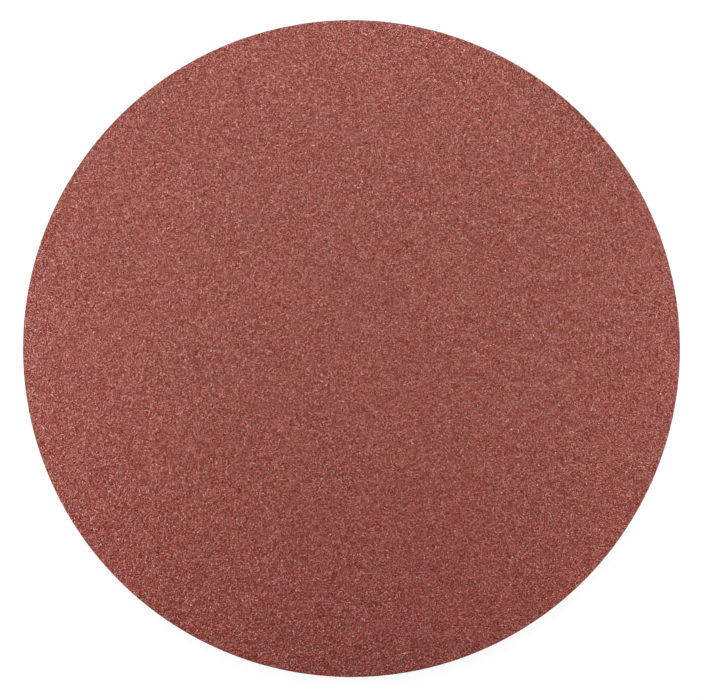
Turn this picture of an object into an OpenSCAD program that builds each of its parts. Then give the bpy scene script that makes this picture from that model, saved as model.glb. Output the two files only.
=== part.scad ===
// Hook and loop sanding disc: a round of coated abrasive paper, laminated to a loop fabric
// that grips a hook-faced backing pad, and die-cut to size as one sheet.
// The disc lies as it would rest: loop tips on Z = 0, abrasive face up, axis of the disc on Z.

/* [Disc] */
// Diameter of the die-cut disc
disc_d = 150; // [75:1:200]

/* [Grain coat] */
// Thickness of the cured coat of resin and abrasive grain, up to the plane of the grain tips
coat_t = 0.28; // [0.14:0.01:0.60]
// Radius that the cutting die leaves on the rim of the abrasive face
die_roll_r = 0.08; // [0.02:0.01:0.12]

/* [Backing paper] */
// Thickness of the heavy paper that carries the grain
paper_t = 0.30; // [0.15:0.01:0.50]

/* [Laminating adhesive] */
// Thickness of the adhesive film between the paper and the loop fabric
adhesive_t = 0.06; // [0.04:0.01:0.15]

/* [Loop fabric] */
// Thickness of the knitted ground that holds the loops
ground_t = 0.28; // [0.15:0.01:0.60]
// Height that the rows of loops stand off the ground
pile_h = 0.58; // [0.40:0.01:1.20]
// Width of one wale, which is one row of loops
wale_w = 1.00; // [0.70:0.01:1.60]
// Gap between the feet of two neighbouring wales
wale_gap = 0.27; // [0.15:0.01:0.60]
// Radius of the shoulders where the loops turn over
loop_r = 0.32; // [0.15:0.01:0.34]

/* [Hidden] */
$fn = 180;

disc_r = disc_d / 2;

// Heights of the layers, from the loop tips up
ground_z = pile_h;
adhesive_z = ground_z + ground_t;
paper_z = adhesive_z + adhesive_t;
coat_z = paper_z + paper_t;

// The wales stand a pitch apart on both sides of the middle one, which lies on the disc's axis.
// A wale that the die would cut off within its shoulder can't hold its loops, so it isn't there.
wale_pitch = wale_w + wale_gap;
side_wales = floor((disc_r + wale_w / 2 - loop_r) / wale_pitch);
shoulder_steps = 2;

// The knitted web runs past the die all round before it is cut
web_margin = 2;
web_half = max(disc_r, side_wales * wale_pitch + wale_w / 2) + web_margin;

// Half of one loop seen from its end, from the crown's edge down to the ground
function shoulder(side) = [
    for (step = [0 : shoulder_steps])
        let (turn = 90 * step / shoulder_steps)
        [
            side * (wale_w / 2 - loop_r + loop_r * sin(turn)),
            loop_r - loop_r * cos(turn)
        ]
];

function reversed(points) = [for (i = [len(points) - 1 : -1 : 0]) points[i]];

// One wale, from its left foot over the crown to its right foot
function wale(centre) = [
    for (point = concat(
        [[-wale_w / 2, pile_h]],
        reversed(shoulder(-1)),
        shoulder(1),
        [[wale_w / 2, pile_h]]
    ))
        [centre + point[0], point[1]]
];

// Section across all wales: the flat back of the ground, then the row of loops
module web_section() {
    pile_edge = [
        for (i = [-side_wales : side_wales])
            each wale(i * wale_pitch)
    ];
    polygon(concat(
        [[-web_half, adhesive_z], [-web_half, ground_z]],
        pile_edge,
        [[web_half, ground_z], [web_half, adhesive_z]]
    ));
}

// A plain layer of the disc, as the die cuts it
module round_layer(bottom, thickness) {
    translate([0, 0, bottom])
        cylinder(r = disc_r, h = thickness);
}

// Outline of the coat from the axis to the rim, with the rim rolled over by the die
module coat_section() {
    square([disc_r - die_roll_r, coat_t]);
    square([disc_r, coat_t - die_roll_r]);
    translate([disc_r - die_roll_r, coat_t - die_roll_r])
        circle(r = die_roll_r);
}

module grain_coat() {
    color("#95554d")
        translate([0, 0, coat_z])
            rotate_extrude()
                coat_section();
}

module backing_paper() {
    color("#b08a62")
        round_layer(paper_z, paper_t);
}

module laminating_adhesive() {
    color("#d9cfa8")
        round_layer(adhesive_z, adhesive_t);
}

module loop_fabric() {
    color("#e6e2d8")
        intersection() {
            round_layer(0, adhesive_z);
            translate([-web_half, 0, 0])
                rotate([90, 0, 90])
                    linear_extrude(2 * web_half)
                        web_section();
        }
}

grain_coat();
backing_paper();
laminating_adhesive();
loop_fabric();
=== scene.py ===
import math

import bpy
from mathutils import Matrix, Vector
from mathutils.geometry import tessellate_polygon
import numpy as np


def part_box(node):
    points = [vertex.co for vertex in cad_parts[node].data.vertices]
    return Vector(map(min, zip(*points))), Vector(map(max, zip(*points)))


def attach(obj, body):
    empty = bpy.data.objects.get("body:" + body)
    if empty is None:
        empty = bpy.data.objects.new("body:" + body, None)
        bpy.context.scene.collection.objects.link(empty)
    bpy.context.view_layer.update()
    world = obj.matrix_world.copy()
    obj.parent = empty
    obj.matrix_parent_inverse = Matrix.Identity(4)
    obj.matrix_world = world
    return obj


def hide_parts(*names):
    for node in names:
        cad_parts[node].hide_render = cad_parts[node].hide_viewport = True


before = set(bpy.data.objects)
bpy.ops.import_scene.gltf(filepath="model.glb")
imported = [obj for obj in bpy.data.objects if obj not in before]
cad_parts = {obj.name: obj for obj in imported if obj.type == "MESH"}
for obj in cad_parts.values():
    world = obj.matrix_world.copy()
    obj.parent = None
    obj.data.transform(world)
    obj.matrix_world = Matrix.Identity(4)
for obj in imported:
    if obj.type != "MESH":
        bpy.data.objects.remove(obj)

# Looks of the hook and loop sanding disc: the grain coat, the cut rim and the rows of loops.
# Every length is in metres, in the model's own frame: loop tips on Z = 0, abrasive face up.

MM = 0.001
TURN = 2 * math.pi
WHITE = (1.0, 1.0, 1.0, 1.0)

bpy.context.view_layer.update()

# The layers, as the solids have them
RIM_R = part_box("grain_coat")[1][0]
COAT_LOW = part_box("grain_coat")[0][2]
COAT_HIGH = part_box("grain_coat")[1][2]
FABRIC_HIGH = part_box("loop_fabric")[1][2]

# Side of the square that the disc and its margin take in a texture map
MAP_CELL = 2.1 * RIM_R

# The photo is 703 by 700 pixels, and the disc in it is a circle
IMAGE_W, IMAGE_H = 703, 700
DISC_X, DISC_Y = 351.50, 348.59
DISC_R = 328.65

# Abrasive grain of grade 80
GRAIN_PITCH = 0.258 * MM
GRAIN_RELIEF = 0.20 * MM
GRAIN_PIECES = 4
GRAIN_STRAY = 0.36  # share of its pitch by which a corner strays
DEPTH_POWER = 1.25  # above 1, more corners lie high than deep
MIDDLE_DEPTH = 0.4  # depth of the middle corner, as a share of the relief

# Last ring of the face, which the die presses in from the rim and down
LAST_RING_STRAY = 0.12
LAST_RING_INSET = 0.10 * MM
LAST_RING_DROP = 0.35  # least depth, as a share of the relief

# Each grain's shade, partly its own tone and partly painted facet shade and glint, and its small broken faces
SHADE_CELL = 0.155 * MM
FACET_CELL = 0.15 * MM
FACET_TILT = 1.05

# Rings of the coat's wall: share of the coat's height, inset from the rim and looseness in mm
COAT_WALL = [(0.62, 0.012, 0.020), (0.30, 0.004, 0.008), (0.0, 0.0, 0.0)]
WALL_MAP_REACH = 1.2 * MM  # how far past the face the wall lies in the texture map

# Knitted loop fabric as in the solid, 20 rows of loops to the inch
WALE_W = 1.00 * MM
WALE_GAP = 0.27 * MM
WALE_PITCH = WALE_W + WALE_GAP
LOOP_R = 0.32 * MM
PILE_H = 0.58 * MM
COURSE_PITCH = 1.18 * MM
ROW_INSET = 0.01 * MM

# Section of a wale from foot to foot, in shares of its width and of the pile's height; feet end in the ground
FOOT_HEIGHT = 1.06
HEAD_ACROSS = [-0.50, -0.50, -0.27, 0.27, 0.50, 0.50]
HEAD_HEIGHT = [FOOT_HEIGHT, 0.52, 0.05, 0.05, 0.52, FOOT_HEIGHT]
WAIST_ACROSS = [-0.46, -0.36, -0.15, 0.15, 0.36, 0.46]
WAIST_HEIGHT = [FOOT_HEIGHT, 0.79, 0.48, 0.48, 0.79, FOOT_HEIGHT]

# How loops vary, and how much of that each point of the section takes part in
STITCH_LEAN = 0.07  # share of the wale's width
LEAN_STRAY = 0.06  # share of the wale's width
FLATTENING = 0.16  # share of the pile's height
LOOP_PULL = 0.14  # share of half a course
ROW_PULL = 0.1  # share of half a course
FREEDOM = [0.0, 0.5, 1.0, 1.0, 0.5, 0.0]

# Rings of the ground's flat faces, as radius in mm and count of points, and of its cut edge
GROUND_RINGS = [(10, 18), (24, 48), (42, 120), (58, 240), (68, 480), (73, 720)]
EDGE_POINTS = 1080
EDGE_SHARES = (1.0, 0.72, 0.40, 0.0)
EDGE_FRAY = (-0.05, 0.03)  # mm past the rim, least and most

# Single loops at the rim, as tubes with this many steps and sides
RIM_LOOPS = 1150
TUBE_STEPS = 6
TUBE_SIDES = 3
FLOOR_CLEARANCE = 0.004 * MM

# Seeds, one for each thing that varies at random
GRAIN_SEED = 80
GROUND_SEED = 11
PILE_SEED = 59
RIM_SEED = 23

# Floor: how much light it returns to the disc, and what the camera sees of it
FLOOR_SIZE = 6.0
FLOOR_GREY = (0.80, 0.80, 0.80, 1.0)
SEEN_GREY = (0.17, 0.17, 0.17, 1.0)
SEEN_GLOW = 0.87

# Light: even from all round, and soft square lamps with their places and watts
WORLD_STRENGTH = 0.085
LAMP_SIZE = 0.12
LAMPS = [
    ("top_lamp", (0.0, 0.23, 0.13), 0.535),
    ("left_lamp", (-0.21, -0.03, 0.095), 0.480),
    ("right_lamp", (0.21, -0.03, 0.095), 0.378),
]


def node_tree(material):
    """Empty the material's tree and return helpers that add and join its nodes."""
    material.use_nodes = True
    tree = material.node_tree
    tree.nodes.clear()

    def add(kind, **settings):
        node = tree.nodes.new(kind)
        for key, value in settings.items():
            setattr(node, key, value)
        return node

    def join(source, target):
        tree.links.new(source, target)

    return add, join


def shader_input(node, name, value):
    node.inputs[name].default_value = value


def object_coords(add):
    return add("ShaderNodeTexCoord").outputs["Object"]


def colour_ramp(add, join, factor, stops):
    """A ramp over (position, colour) stops, driven by the factor socket."""
    ramp = add("ShaderNodeValToRGB")
    elements = ramp.color_ramp.elements
    while len(elements) < len(stops):
        elements.new(0.5)
    for element, (position, colour) in zip(elements, stops):
        element.position = position
        element.color = (*colour, 1.0)
    join(factor, ramp.inputs["Fac"])
    return ramp.outputs["Color"]


def maths(add, join, operation, first, second):
    """A Math node whose inputs are sockets or plain numbers."""
    node = add("ShaderNodeMath", operation=operation)
    for socket, value in zip(node.inputs, (first, second)):
        if isinstance(value, (int, float)):
            socket.default_value = value
        else:
            join(value, socket)
    return node.outputs[0]


def map_range(add, join, value, low, high, to_low, to_high):
    """The value socket's range from low to high, carried over to the range from to_low to to_high."""
    node = add("ShaderNodeMapRange")
    join(value, node.inputs["Value"])
    shader_input(node, "From Min", low)
    shader_input(node, "From Max", high)
    shader_input(node, "To Min", to_low)
    shader_input(node, "To Max", to_high)
    return node.outputs["Result"]


def noise(add, join, coords, size, detail=2.0, roughness=0.5):
    """Fractal noise whose largest features are about size metres across."""
    node = add("ShaderNodeTexNoise")
    join(coords, node.inputs["Vector"])
    shader_input(node, "Scale", 1 / size)
    shader_input(node, "Detail", detail)
    shader_input(node, "Roughness", roughness)
    return node.outputs["Fac"]


def cells(add, join, coords, size):
    """Voronoi cells about size metres across."""
    node = add("ShaderNodeTexVoronoi", feature="F1")
    join(coords, node.inputs["Vector"])
    shader_input(node, "Scale", 1 / size)
    return node


def bump(add, join, height, distance):
    """A normal from a height socket, where a height of 1 stands distance metres high."""
    node = add("ShaderNodeBump")
    join(height, node.inputs["Height"])
    shader_input(node, "Distance", distance)
    shader_input(node, "Strength", 1.0)
    return node.outputs["Normal"]


def tilted_normal(add, join, coords, normal, size, tilt):
    """The normal, leaning at random in each cell of the given size by up to half of tilt each way."""
    random_tilt = add("ShaderNodeVectorMath", operation="SUBTRACT")
    join(cells(add, join, coords, size).outputs["Color"], random_tilt.inputs[0])
    random_tilt.inputs[1].default_value = (0.5, 0.5, 0.5)
    scaled = add("ShaderNodeVectorMath", operation="SCALE")
    join(random_tilt.outputs["Vector"], scaled.inputs[0])
    shader_input(scaled, "Scale", tilt)
    total = add("ShaderNodeVectorMath", operation="ADD")
    join(normal, total.inputs[0])
    join(scaled.outputs["Vector"], total.inputs[1])
    unit = add("ShaderNodeVectorMath", operation="NORMALIZE")
    join(total.outputs["Vector"], unit.inputs[0])
    return unit.outputs["Vector"]


def principled(add, join):
    """A Principled shader that is joined to the material's output."""
    shader = add("ShaderNodeBsdfPrincipled")
    output = add("ShaderNodeOutputMaterial")
    join(shader.outputs["BSDF"], output.inputs["Surface"])
    return shader


def scaled_colour(add, join, colour, factor):
    """The colour socket times a grey factor socket."""
    node = add("ShaderNodeVectorMath", operation="SCALE")
    join(colour, node.inputs[0])
    join(factor, node.inputs["Scale"])
    return node.outputs["Vector"]


def abrasive_material():
    """Reddish-brown grain in resin: each grain's shade is partly its own tone and partly painted facet shade
    and glint, the coat is darker between grains, partly from resin and partly painted shade, and a painted
    shade tint runs along Y.
    """
    material = bpy.data.materials.new("abrasive_grain")
    add, join = node_tree(material)
    coords = object_coords(add)
    shader = principled(add, join)

    # One random shade for each grain: partly the grain's own tone, partly painted shade and painted glint of
    # its facets, paler where brighter
    grain = cells(add, join, coords, SHADE_CELL)
    shade = add("ShaderNodeSeparateColor")
    join(grain.outputs["Color"], shade.inputs["Color"])
    grain_tone_and_shade = colour_ramp(add, join, shade.outputs["Red"], [
        (0.00, (0.130, 0.013, 0.008)),
        (0.25, (0.196, 0.025, 0.015)),
        (0.60, (0.300, 0.050, 0.031)),
        (0.85, (0.430, 0.103, 0.072)),
        (1.00, (0.600, 0.205, 0.157)),
    ])

    # Darker in the valleys and lighter on the tips: partly resin, deep in the valleys and thin on the tips,
    # and partly painted shade in the valleys
    position = add("ShaderNodeNewGeometry").outputs["Position"]
    split = add("ShaderNodeSeparateXYZ")
    join(position, split.inputs["Vector"])
    valley = COAT_HIGH - GRAIN_RELIEF
    shade_by_depth = map_range(add, join, split.outputs["Z"], valley, COAT_HIGH, 0.79, 1.155)

    # Painted shade: the colour is darker and redder towards -Y and paler towards +Y, as light falls; this
    # mild tint follows the photo, which is a little redder towards its lower edge
    along = map_range(add, join, split.outputs["Y"], -RIM_R, RIM_R, 0.0, 1.0)
    painted_shade_tint = colour_ramp(add, join, along, [
        (0.00, (0.90, 0.72, 0.72)),
        (0.06, (0.98, 0.82, 0.82)),
        (0.20, (1.00, 0.88, 0.87)),
        (0.45, (1.00, 1.00, 1.00)),
        (1.00, (1.00, 1.06, 1.07)),
    ])
    shade_tinted = add("ShaderNodeVectorMath", operation="MULTIPLY")
    join(grain_tone_and_shade, shade_tinted.inputs[0])
    join(painted_shade_tint, shade_tinted.inputs[1])

    # The coat varies a little across the sheet
    drift = map_range(add, join, noise(add, join, coords, 22 * MM, 3.0), 0.3, 0.7, 0.975, 1.025)
    mottle = map_range(add, join, noise(add, join, coords, 1.6 * MM, 3.0), 0.3, 0.7, 0.95, 1.05)
    # The factor carries the painted valley shade, with the coat's drift and mottle
    factor = maths(add, join, "MULTIPLY", maths(add, join, "MULTIPLY", shade_by_depth, drift), mottle)
    join(scaled_colour(add, join, shade_tinted.outputs["Vector"], factor), shader.inputs["Base Color"])

    # Seen along the sheet, the grains hide each other's shiny faces
    gloss = map_range(add, join, shade.outputs["Green"], 0.0, 1.0, 0.15, 0.42)
    sheet_up = add("ShaderNodeCombineXYZ")
    shader_input(sheet_up, "Z", 1.0)
    up = add("ShaderNodeVectorTransform", vector_type="NORMAL", convert_from="OBJECT", convert_to="WORLD")
    join(sheet_up.outputs["Vector"], up.inputs["Vector"])
    weight = add("ShaderNodeLayerWeight")
    join(up.outputs["Vector"], weight.inputs["Normal"])
    hidden = map_range(add, join, weight.outputs["Facing"], 0.55, 0.93, 0.0, 1.0)
    dulled = maths(add, join, "MULTIPLY", hidden, 0.85)
    join(maths(add, join, "MAXIMUM", gloss, dulled), shader.inputs["Roughness"])
    bare = map_range(add, join, shade.outputs["Red"], 0.0, 1.0, 0.20, 0.82)
    seen = map_range(add, join, hidden, 0.0, 1.0, 1.0, 0.16)
    join(maths(add, join, "MULTIPLY", bare, seen), shader.inputs["Specular IOR Level"])
    shader_input(shader, "IOR", 1.58)

    # Each grain shows small broken faces, which tilt at random
    fine = noise(add, join, coords, 0.09 * MM, 2.0)
    worn = bump(add, join, fine, 0.006 * MM)
    broken = tilted_normal(add, join, coords, worn, FACET_CELL, FACET_TILT)
    join(broken, shader.inputs["Normal"])
    return material


def paper_material():
    """Cut edge of heavy brown paper: fibres lie flat, so the streaks run round the rim."""
    material = bpy.data.materials.new("paper_edge")
    add, join = node_tree(material)
    coords = object_coords(add)
    shader = principled(add, join)
    stretch = add("ShaderNodeMapping")
    shader_input(stretch, "Scale", (1.0, 1.0, 9.0))
    join(coords, stretch.inputs["Vector"])
    fibres = noise(add, join, stretch.outputs["Vector"], 0.28 * MM, 5.0, 0.7)
    colour = colour_ramp(add, join, fibres, [
        (0.25, (0.300, 0.178, 0.096)),
        (0.50, (0.400, 0.255, 0.145)),
        (0.78, (0.500, 0.345, 0.210)),
    ])
    patches = map_range(add, join, noise(add, join, coords, 6 * MM, 2.0), 0.3, 0.7, 0.9, 1.08)
    join(scaled_colour(add, join, colour, patches), shader.inputs["Base Color"])
    join(map_range(add, join, fibres, 0.3, 0.7, 0.78, 0.95), shader.inputs["Roughness"])
    join(bump(add, join, fibres, 0.05 * MM), shader.inputs["Normal"])
    return material


def adhesive_material():
    """Edge of a cured adhesive film: honey-coloured, slightly shiny, with tiny beads."""
    material = bpy.data.materials.new("adhesive_film")
    add, join = node_tree(material)
    coords = object_coords(add)
    shader = principled(add, join)
    beads = noise(add, join, coords, 0.35 * MM, 3.0)
    colour = colour_ramp(add, join, beads, [
        (0.30, (0.430, 0.340, 0.190)),
        (0.70, (0.700, 0.610, 0.400)),
    ])
    join(colour, shader.inputs["Base Color"])
    join(map_range(add, join, beads, 0.3, 0.7, 0.28, 0.5), shader.inputs["Roughness"])
    shader_input(shader, "IOR", 1.49)
    join(bump(add, join, beads, 0.03 * MM), shader.inputs["Normal"])
    return material


def fabric_material(name, brightness, fuzz):
    """Off-white polyamide yarn with a soft sheen; fuzz is the size of its fibres in metres."""
    material = bpy.data.materials.new(name)
    add, join = node_tree(material)
    coords = object_coords(add)
    shader = principled(add, join)
    stretch = add("ShaderNodeMapping")
    shader_input(stretch, "Scale", (3.5, 1.0, 1.0))
    join(coords, stretch.inputs["Vector"])
    fibres = noise(add, join, stretch.outputs["Vector"], fuzz, 4.0, 0.6)
    yarn_colour = (0.80, 0.775, 0.715)
    low = tuple(0.78 * c * brightness for c in yarn_colour)
    high = tuple(1.06 * c * brightness for c in yarn_colour)
    colour = colour_ramp(add, join, fibres, [(0.25, low), (0.75, high)])
    patches = map_range(add, join, noise(add, join, coords, 9 * MM, 3.0), 0.3, 0.7, 0.94, 1.04)

    # Painted shade: darker at the waists between the loops, towards the ground, and lighter at their tips
    split = add("ShaderNodeSeparateXYZ")
    join(coords, split.inputs["Vector"])
    shade_by_depth = map_range(add, join, split.outputs["Z"], 0.05 * PILE_H, 0.9 * PILE_H, 1.06, 0.74)
    shade = maths(add, join, "MULTIPLY", patches, shade_by_depth)
    join(scaled_colour(add, join, colour, shade), shader.inputs["Base Color"])
    shader_input(shader, "Roughness", 0.85)
    shader_input(shader, "Sheen Weight", 0.25)
    shader_input(shader, "Sheen Roughness", 0.5)
    join(bump(add, join, fibres, 0.10 * MM), shader.inputs["Normal"])
    return material


def ring_strip(inner_angles, outer_angles, inner_first, outer_first):
    """Triangles between two rings of points, each sorted by angle; the rings may differ in count."""
    inner_n, outer_n = len(inner_angles), len(outer_angles)
    angles = np.concatenate([inner_angles, outer_angles])
    from_inner = np.concatenate([np.ones(inner_n, bool), np.zeros(outer_n, bool)])
    order = np.argsort(angles, kind="stable")
    from_inner = from_inner[order]
    inner_done = np.cumsum(from_inner)
    outer_done = np.cumsum(~from_inner)
    inner_before = (inner_done - from_inner - 1) % inner_n
    outer_before = (outer_done - ~from_inner - 1) % outer_n
    newest = np.where(
        from_inner,
        inner_first + (inner_done - 1) % inner_n,
        outer_first + (outer_done - 1) % outer_n,
    )
    return np.stack([inner_first + inner_before, outer_first + outer_before, newest], axis=1)


def wander(rng, points):
    """Shift points by a few smooth waves, fading out towards the rim, so that no row of grain runs true."""
    waves = 14
    height = 0.045 * MM
    still_rim = 0.4 * MM
    fade = 1.2 * MM
    shift = np.zeros_like(points)
    for _ in range(waves):
        length = rng.uniform(0.9, 3.2) * MM
        bearing = rng.uniform(0, TURN)
        course = points @ np.array([math.cos(bearing), math.sin(bearing)])
        phase = course / length * TURN + rng.uniform(0, TURN)
        push = rng.uniform(0, TURN)
        shift += np.sin(phase)[:, None] * np.array([math.cos(push), math.sin(push)]) * height
    inside = np.clip((RIM_R - still_rim - np.linalg.norm(points, axis=1)) / fade, 0, 1)
    return points + shift * inside[:, None]


def grain_rings(rng):
    """Rings of grain corners from the middle out to the rim and down its wall.

    Each ring is its angles, radii, heights and map radii. The map radius goes on growing down the wall, so
    the wall lies outside the face in the texture map.
    """
    row = GRAIN_PITCH * math.sqrt(3) / 2
    face_r = RIM_R - LAST_RING_INSET
    count = round(face_r / row)
    row = face_r / count
    rings = []
    for k in range(1, count + 1):
        radius = k * row
        n = max(6, round(TURN * radius / GRAIN_PITCH))
        shuffle = rng.uniform(-GRAIN_STRAY, GRAIN_STRAY, n)
        angles = (np.arange(n) + 0.5 + shuffle) / n * TURN
        stray = GRAIN_STRAY if k < count else LAST_RING_STRAY
        radii = radius + rng.uniform(-stray, stray, n) * row
        depths = GRAIN_RELIEF * rng.uniform(0, 1, n) ** DEPTH_POWER
        if k == count:
            depths = LAST_RING_DROP * GRAIN_RELIEF + (1 - LAST_RING_DROP) * depths
        rings.append((angles, radii, COAT_HIGH - depths, radii))
    angles = rings[-1][0]
    n = len(angles)
    for share, inset, loose in COAT_WALL:
        heights = COAT_LOW + share * (COAT_HIGH - COAT_LOW) + rng.uniform(-1, 1, n) * loose * MM
        radii = RIM_R - inset * MM - rng.uniform(0, 1, n) * loose * MM
        map_radii = np.full(n, RIM_R + (1 - share) * WALL_MAP_REACH)
        rings.append((angles, radii, np.maximum(heights, COAT_LOW), map_radii))
    return rings


def grain_mesh(rng):
    """Points, their bearings and map radii, and the triangles of the whole grain coat.

    Each triangle's last corner is the one farthest round.
    """
    rings = grain_rings(rng)
    middle = (0.0, 0.0, COAT_HIGH - MIDDLE_DEPTH * GRAIN_RELIEF)
    points, triangles = ring_surface([ring[:3] for ring in rings], middle)
    bearings = np.concatenate([np.zeros(1), *(ring[0] for ring in rings)])
    map_radii = np.concatenate([np.zeros(1), *(ring[3] for ring in rings)])
    points[:, :2] = wander(rng, points[:, :2])
    return points, bearings, map_radii, triangles


def mesh_object(name, points, triangles, material, smooth=False):
    """A mesh piece from arrays of points and triangles."""
    mesh = bpy.data.meshes.new(name)
    mesh.vertices.add(len(points))
    mesh.vertices.foreach_set("co", points.astype(np.float32).ravel())
    mesh.loops.add(3 * len(triangles))
    mesh.loops.foreach_set("vertex_index", triangles.astype(np.int32).ravel())
    mesh.polygons.add(len(triangles))
    mesh.polygons.foreach_set("loop_start", np.arange(0, 3 * len(triangles), 3, dtype=np.int32))
    mesh.update(calc_edges=True)
    mesh.polygons.foreach_set("use_smooth", np.full(len(triangles), smooth))
    mesh.validate()
    piece = bpy.data.objects.new(name, mesh)
    bpy.context.scene.collection.objects.link(piece)
    mesh.materials.append(material)
    return piece


def flat_map(piece, places, hidden=None, hidden_places=None):
    """A texture map from one (u, v) place for each point; triangles marked hidden use the second places."""
    mesh = piece.data
    layer = mesh.uv_layers.new(name="OFBake")
    corner_points = np.empty(len(mesh.loops), np.int32)
    mesh.loops.foreach_get("vertex_index", corner_points)
    corners = places[corner_points]
    if hidden is not None:
        corners = np.where(np.repeat(hidden, 3)[:, None], hidden_places[corner_points], corners)
    layer.data.foreach_set("uv", corners.astype(np.float32).ravel())


def part_of(points, triangles, chosen):
    """The chosen triangles with only the points that they use, and which points those are."""
    used, renumbered = np.unique(triangles[chosen], return_inverse=True)
    return points[used], renumbered.reshape(-1, 3), used


def border_of(triangles):
    """The surface's single border, as its points in order."""
    sides = np.concatenate([triangles[:, [0, 1]], triangles[:, [1, 2]], triangles[:, [2, 0]]])
    count = triangles.max() + 1
    alone = ~np.isin(sides[:, 0] * count + sides[:, 1], sides[:, 1] * count + sides[:, 0])
    following = dict(sides[alone].tolist())
    border = [next(iter(following))]
    while following[border[-1]] != border[0]:
        border.append(following[border[-1]])
    return np.array(border)


def closed_below(points, triangles, floor_z):
    """The surface as a closed solid: its border goes straight down to a flat face at floor_z.

    The new triangles come last. The border points that a wall hangs from are returned too.
    """
    touching = 1e-9
    border = border_of(triangles)
    high = points[border, 2] > floor_z + touching
    lower = border.copy()
    lower[high] = len(points) + np.arange(high.sum())
    added = points[border[high]].copy()
    added[:, 2] = floor_z
    points = np.concatenate([points, added])
    walls = []
    for a, b, low_a, low_b in zip(border, np.roll(border, -1), lower, np.roll(lower, -1)):
        if a != low_a:
            walls.append((b, a, low_a))
        if b != low_b:
            walls.append((b, low_a, low_b))
    flat = tessellate_polygon([[Vector((x, y, 0)) for x, y, _ in points[lower]]])
    flat = lower[np.array(flat)]
    side = points[flat[:, 1]] - points[flat[:, 0]]
    other = points[flat[:, 2]] - points[flat[:, 0]]
    faces_up = side[:, 0] * other[:, 1] > side[:, 1] * other[:, 0]
    flat[faces_up] = flat[faces_up][:, ::-1]
    return points, np.concatenate([triangles, np.array(walls), flat]), border[high]


def make_grain_coat(material):
    """The grain coat as closed quarter pieces that share their border points."""
    points, bearings, map_radii, triangles = grain_mesh(np.random.default_rng(GRAIN_SEED))
    quarter = TURN / GRAIN_PIECES
    margin = 1.0 * MM
    reach = map_radii.max() + 2 * margin
    pieces = []
    for i in range(GRAIN_PIECES):
        chosen = (bearings[triangles[:, 2]] / quarter).astype(int) == i
        own_points, own_triangles, used = part_of(points, triangles, chosen)
        grain_count = len(own_triangles)
        own_points, own_triangles, walled = closed_below(own_points, own_triangles, COAT_LOW)
        piece = mesh_object(f"grain_field_{i + 1}", own_points, own_triangles, material)
        radii = map_radii[np.concatenate([used, used[walled]])]
        turned = np.arctan2(own_points[:, 1], own_points[:, 0]) - i * quarter
        along = np.stack([np.cos(turned), np.sin(turned)], axis=1) * radii[:, None]
        places = (along + margin) / reach
        # Hidden walls and the flat face go small into the corner of the map that the quarter leaves free
        hidden = np.arange(len(own_triangles)) >= grain_count
        corner, size = 0.85, 0.14
        flat_map(piece, places, hidden, corner + size * places)
        pieces.append(piece)
    return pieces


def ring_surface(rings, first_point, last_point=None):
    """Points and triangles through rings of (angles, radii, heights), from a first point outwards.

    If a last point is given, the surface closes on it.
    """
    points = [np.array([first_point])]
    triangles = []
    first = 1
    previous = None
    for angles, radii, heights in rings:
        n = len(angles)
        points.append(np.stack([radii * np.cos(angles), radii * np.sin(angles), heights], axis=1))
        if previous is None:
            around = first + np.arange(n)
            triangles.append(np.stack([np.zeros(n, int), around, np.roll(around, -1)], axis=1))
        else:
            triangles.append(ring_strip(previous[0], angles, previous[1], first))
        previous = (angles, first)
        first += n
    if last_point is not None:
        points.append(np.array([last_point]))
        around = previous[1] + np.arange(len(previous[0]))
        triangles.append(np.stack([around, np.full(len(around), first), np.roll(around, -1)], axis=1))
    return np.concatenate(points), np.concatenate(triangles)


def make_loop_ground(material):
    """The knitted ground that holds the loops: a thin sheet with a cut edge that frays a little."""
    rng = np.random.default_rng(GROUND_SEED)

    def flat_ring(radius, n, height):
        return np.arange(n) / n * TURN, np.full(n, radius * MM), np.full(n, height)

    rings = [flat_ring(radius, n, FABRIC_HIGH) for radius, n in GROUND_RINGS]
    around = np.arange(EDGE_POINTS) / EDGE_POINTS * TURN
    for share in EDGE_SHARES:
        fray = rng.uniform(*EDGE_FRAY, EDGE_POINTS) * MM
        height = PILE_H + share * (FABRIC_HIGH - PILE_H)
        rings.append((around, RIM_R + fray, np.full(EDGE_POINTS, height)))
    rings += [flat_ring(radius, n, PILE_H) for radius, n in reversed(GROUND_RINGS)]
    points, triangles = ring_surface(rings, (0.0, 0.0, FABRIC_HIGH), (0.0, 0.0, PILE_H))
    piece = mesh_object("loop_ground", points, triangles, material)

    # The two faces lie side by side in the texture map
    below = (points[:, 2] < 0.5 * (PILE_H + FABRIC_HIGH)).astype(float)
    u = points[:, 0] + (0.5 + below) * MAP_CELL
    v = points[:, 1] + 0.5 * MAP_CELL
    flat_map(piece, np.stack([u, v], axis=1) / (2 * MAP_CELL))
    return piece


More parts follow.
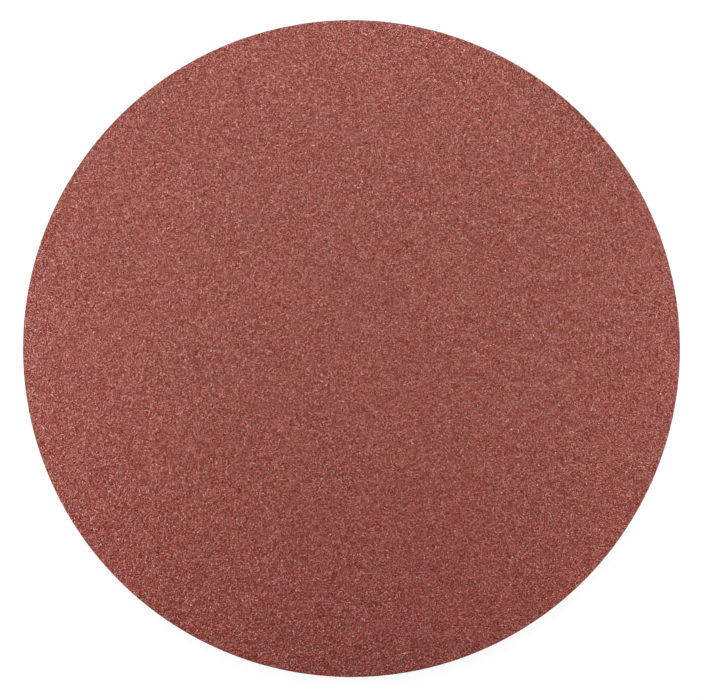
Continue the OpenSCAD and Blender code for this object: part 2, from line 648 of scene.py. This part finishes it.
def loop_row(rng, number, rim):
    """One wale, which runs along X: its points, its triangles and which of these are hidden.

    It is a ring of six points, from foot to foot over the crown, at each loop's head and at each waist. It is
    closed inside the ground.
    """
    past_rim = 0.02 * MM
    centre = number * WALE_PITCH
    nearest = max(abs(centre) - WALE_W / 2, 0.0)
    reach = math.sqrt(rim ** 2 - nearest ** 2)
    half_course = COURSE_PITCH / 2
    steps = math.ceil(reach / half_course)
    index = np.arange(-steps, steps + 1)
    n = len(index)
    is_head = ((index + number) % 2 == 0)[:, None]
    across = np.where(is_head, HEAD_ACROSS, WAIST_ACROSS)
    height = np.where(is_head, HEAD_HEIGHT, WAIST_HEIGHT)
    moves = np.array(FREEDOM)
    stitch_lean = np.where((index + number) % 4 == 0, STITCH_LEAN, -STITCH_LEAN)
    lean = (stitch_lean + rng.uniform(-LEAN_STRAY, LEAN_STRAY, n))[:, None] * moves
    flat = rng.uniform(0.0, FLATTENING, (n, 1)) * moves
    pull = rng.uniform(-LOOP_PULL, LOOP_PULL, (n, 1)) * moves
    y = centre + (across + lean) * WALE_W
    x = (index[:, None] + pull + rng.uniform(-ROW_PULL, ROW_PULL)) * half_course
    x[0] = -reach - past_rim
    x[-1] = reach + past_rim
    z = np.minimum(height + flat, FOOT_HEIGHT) * PILE_H

    # What stands past the die's cut ends on it
    squeeze = np.minimum(1.0, rim / np.hypot(x, y))
    x, y = x * squeeze, y * squeeze
    rows = np.stack([x, y, z], axis=2)
    points = np.concatenate([rows.reshape(-1, 3), rows[[0, -1]].mean(axis=1)])

    lanes = rows.shape[1]
    lane = np.arange(lanes)
    next_lane = (lane + 1) % lanes
    ring = np.arange(n - 1)[:, None] * lanes
    corner = (ring + lane).ravel()
    beside = (ring + next_lane).ravel()
    quads = np.stack([corner, beside, beside + lanes, corner + lanes], axis=1)
    last = (n - 1) * lanes
    caps = np.concatenate([
        np.stack([next_lane, lane, np.full(lanes, n * lanes)], axis=1),
        np.stack([last + lane, last + next_lane, np.full(lanes, n * lanes + 1)], axis=1),
    ])
    triangles = np.concatenate([quads[:, [0, 1, 2]], quads[:, [0, 2, 3]], caps])

    # The strip between the feet closes the row inside the ground
    in_ground = np.tile(lane == lanes - 1, n - 1)
    hidden = np.concatenate([in_ground, in_ground, np.zeros(len(caps), bool)])
    return points, triangles, hidden


def make_pile(material):
    """The rows of loops, as a front and a back piece; they run along X, as in the solid."""
    rng = np.random.default_rng(PILE_SEED)
    side_wales = int((RIM_R + WALE_W / 2 - LOOP_R) / WALE_PITCH)
    halves = (
        ("loop_pile_front", range(-side_wales, 0)),
        ("loop_pile_back", range(0, side_wales + 1)),
    )
    pieces = []
    for name, wales in halves:
        points, triangles, hidden = [], [], []
        first = 0
        for number in wales:
            own_points, own_triangles, own_hidden = loop_row(rng, number, RIM_R - ROW_INSET)
            points.append(own_points)
            triangles.append(own_triangles + first)
            hidden.append(own_hidden)
            first += len(own_points)
        points = np.concatenate(points)
        piece = mesh_object(name, points, np.concatenate(triangles), material, smooth=True)
        # Hidden strips go small into a corner of the map that the disc leaves free
        spread = points[:, :2] / MAP_CELL
        corner, size = 0.07, 0.13
        flat_map(piece, spread + 0.5, np.concatenate(hidden), size * spread + corner)
        pieces.append(piece)
    return pieces


def make_rim_loops(material):
    """Single loops and cut yarn ends that the die leaves at the rim, as thin closed tubes.

    Each starts and ends inside the ground.
    """
    rng = np.random.default_rng(RIM_SEED)
    count, steps, sides = RIM_LOOPS, TUBE_STEPS, TUBE_SIDES
    bearing = (np.arange(count) + rng.uniform(-0.4, 0.4, count)) / count * TURN
    half_width = rng.uniform(0.12, 0.30, count) * MM / RIM_R
    foot_r = RIM_R - rng.uniform(0.06, 0.22, count) * MM
    foot_z = rng.uniform(1.05, 1.25, count) * PILE_H
    tip_r = RIM_R + rng.uniform(-0.05, 0.30, count) * MM
    tip_z = rng.uniform(0.02, 0.62, count) * PILE_H
    tip_lean = rng.uniform(-0.2, 0.2, count) * MM / RIM_R
    t = np.linspace(0, 1, steps + 1)
    arch = 4 * t * (1 - t)
    angle = bearing[:, None] + half_width[:, None] * (2 * t - 1) + tip_lean[:, None] * arch
    radius = foot_r[:, None] + (tip_r - foot_r)[:, None] * arch
    height = foot_z[:, None] + (tip_z - foot_z)[:, None] * arch
    path = np.stack([radius * np.cos(angle), radius * np.sin(angle), height], axis=2)
    along = np.gradient(path, axis=1)
    along /= np.linalg.norm(along, axis=2, keepdims=True)
    outward = np.stack([np.cos(angle), np.sin(angle), np.zeros_like(angle)], axis=2)
    side = np.cross(along, outward)
    side /= np.linalg.norm(side, axis=2, keepdims=True)
    other = np.cross(along, side)
    thick = rng.uniform(0.018, 0.032, count)[:, None, None] * MM
    turns = [k * TURN / sides for k in range(sides)]
    around = [math.cos(turn) * side + math.sin(turn) * other for turn in turns]
    tube = np.stack([path + thick * direction for direction in around], axis=2)
    tube[..., 2] = np.maximum(tube[..., 2], FLOOR_CLEARANCE)

    start = np.arange(count)[:, None, None] * (steps + 1) * sides
    step = np.arange(steps)[None, :, None] * sides
    lane = np.arange(sides)[None, None, :]
    corner = start + step + lane
    beside = start + step + (lane + 1) % sides
    quads = np.stack([corner, beside, beside + sides, corner + sides], axis=3).reshape(-1, 4)
    foot = (np.arange(count) * (steps + 1) * sides)[:, None]
    ends = np.concatenate([foot + [2, 1, 0], foot + steps * sides + [0, 1, 2]])
    triangles = np.concatenate([quads[:, [0, 1, 2]], quads[:, [0, 2, 3]], ends])
    return mesh_object("rim_loops", tube.reshape(-1, 3), triangles, material, smooth=True)


def make_stage():
    """A pale floor that the camera sees as nearly white, with the disc's shadow kept."""
    bpy.ops.mesh.primitive_plane_add(size=FLOOR_SIZE)
    floor = bpy.context.object
    floor.name = "floor"
    material = bpy.data.materials.new("floor")
    add, join = node_tree(material)
    plain = add("ShaderNodeBsdfDiffuse")
    shader_input(plain, "Color", FLOOR_GREY)
    seen = add("ShaderNodeBsdfDiffuse")
    shader_input(seen, "Color", SEEN_GREY)
    lift = add("ShaderNodeEmission")
    shader_input(lift, "Strength", SEEN_GLOW)
    lifted = add("ShaderNodeAddShader")
    join(seen.outputs[0], lifted.inputs[0])
    join(lift.outputs[0], lifted.inputs[1])
    path = add("ShaderNodeLightPath")
    direct = maths(add, join, "MAXIMUM", path.outputs["Is Camera Ray"], path.outputs["Is Glossy Ray"])
    direct = maths(add, join, "MAXIMUM", direct, path.outputs["Is Transmission Ray"])
    choice = add("ShaderNodeMixShader")
    join(direct, choice.inputs["Fac"])
    join(plain.outputs[0], choice.inputs[1])
    join(lifted.outputs[0], choice.inputs[2])
    output = add("ShaderNodeOutputMaterial")
    join(choice.outputs[0], output.inputs["Surface"])
    floor.data.materials.append(material)


def make_world(strength):
    """Even light from all round, and a white background for the camera."""
    world = bpy.data.worlds.new("studio")
    bpy.context.scene.world = world
    add, join = node_tree(world)
    light = add("ShaderNodeBackground")
    shader_input(light, "Color", WHITE)
    shader_input(light, "Strength", strength)
    white = add("ShaderNodeBackground")
    shader_input(white, "Color", WHITE)
    path = add("ShaderNodeLightPath")
    choice = add("ShaderNodeMixShader")
    join(path.outputs["Is Camera Ray"], choice.inputs["Fac"])
    join(light.outputs[0], choice.inputs[1])
    join(white.outputs[0], choice.inputs[2])
    output = add("ShaderNodeOutputWorld")
    join(choice.outputs[0], output.inputs["Surface"])


def make_lamp(name, place, size, watts):
    """A square area lamp that faces the disc."""
    data = bpy.data.lights.new(name, "AREA")
    data.shape = "SQUARE"
    data.size = size
    data.energy = watts
    lamp = bpy.data.objects.new(name, data)
    bpy.context.scene.collection.objects.link(lamp)
    lamp.location = place
    lamp.rotation_euler = (-lamp.location).to_track_quat("-Z", "Y").to_euler()
    lamp.visible_camera = False


def make_camera():
    """A long lens straight above the disc, framed as the photo is."""
    data = bpy.data.cameras.new("camera")
    data.lens = 100.0
    data.sensor_width = 36.0
    data.clip_start = 0.01
    data.clip_end = 20.0
    camera = bpy.data.objects.new("camera", data)
    bpy.context.scene.collection.objects.link(camera)
    metres_per_pixel = RIM_R / DISC_R
    frame_width = IMAGE_W * metres_per_pixel
    distance = frame_width * data.lens / data.sensor_width
    across = (IMAGE_W / 2 - DISC_X) * metres_per_pixel
    down = (DISC_Y - IMAGE_H / 2) * metres_per_pixel
    camera.location = (across, down, COAT_HIGH + distance)
    bpy.context.scene.camera = camera


make_camera()
make_stage()
make_world(WORLD_STRENGTH)
for name, place, watts in LAMPS:
    make_lamp(name, place, LAMP_SIZE, watts)

grain_pieces = make_grain_coat(abrasive_material())
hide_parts("grain_coat")
for piece in grain_pieces:
    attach(piece, "root")

yarn = fabric_material("loop_yarn", 1.0, 0.16 * MM)
loop_ground = make_loop_ground(fabric_material("ground_yarn", 1.1, 0.24 * MM))
pile = make_pile(yarn)
rim_loops = make_rim_loops(yarn)
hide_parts("loop_fabric")
for piece in (loop_ground, *pile, rim_loops):
    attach(piece, "root")

for node_name, material in (
    ("backing_paper", paper_material()),
    ("laminating_adhesive", adhesive_material()),
):
    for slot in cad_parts[node_name].material_slots:
        slot.material = material

bpy.context.scene.view_settings.view_transform = "Standard"
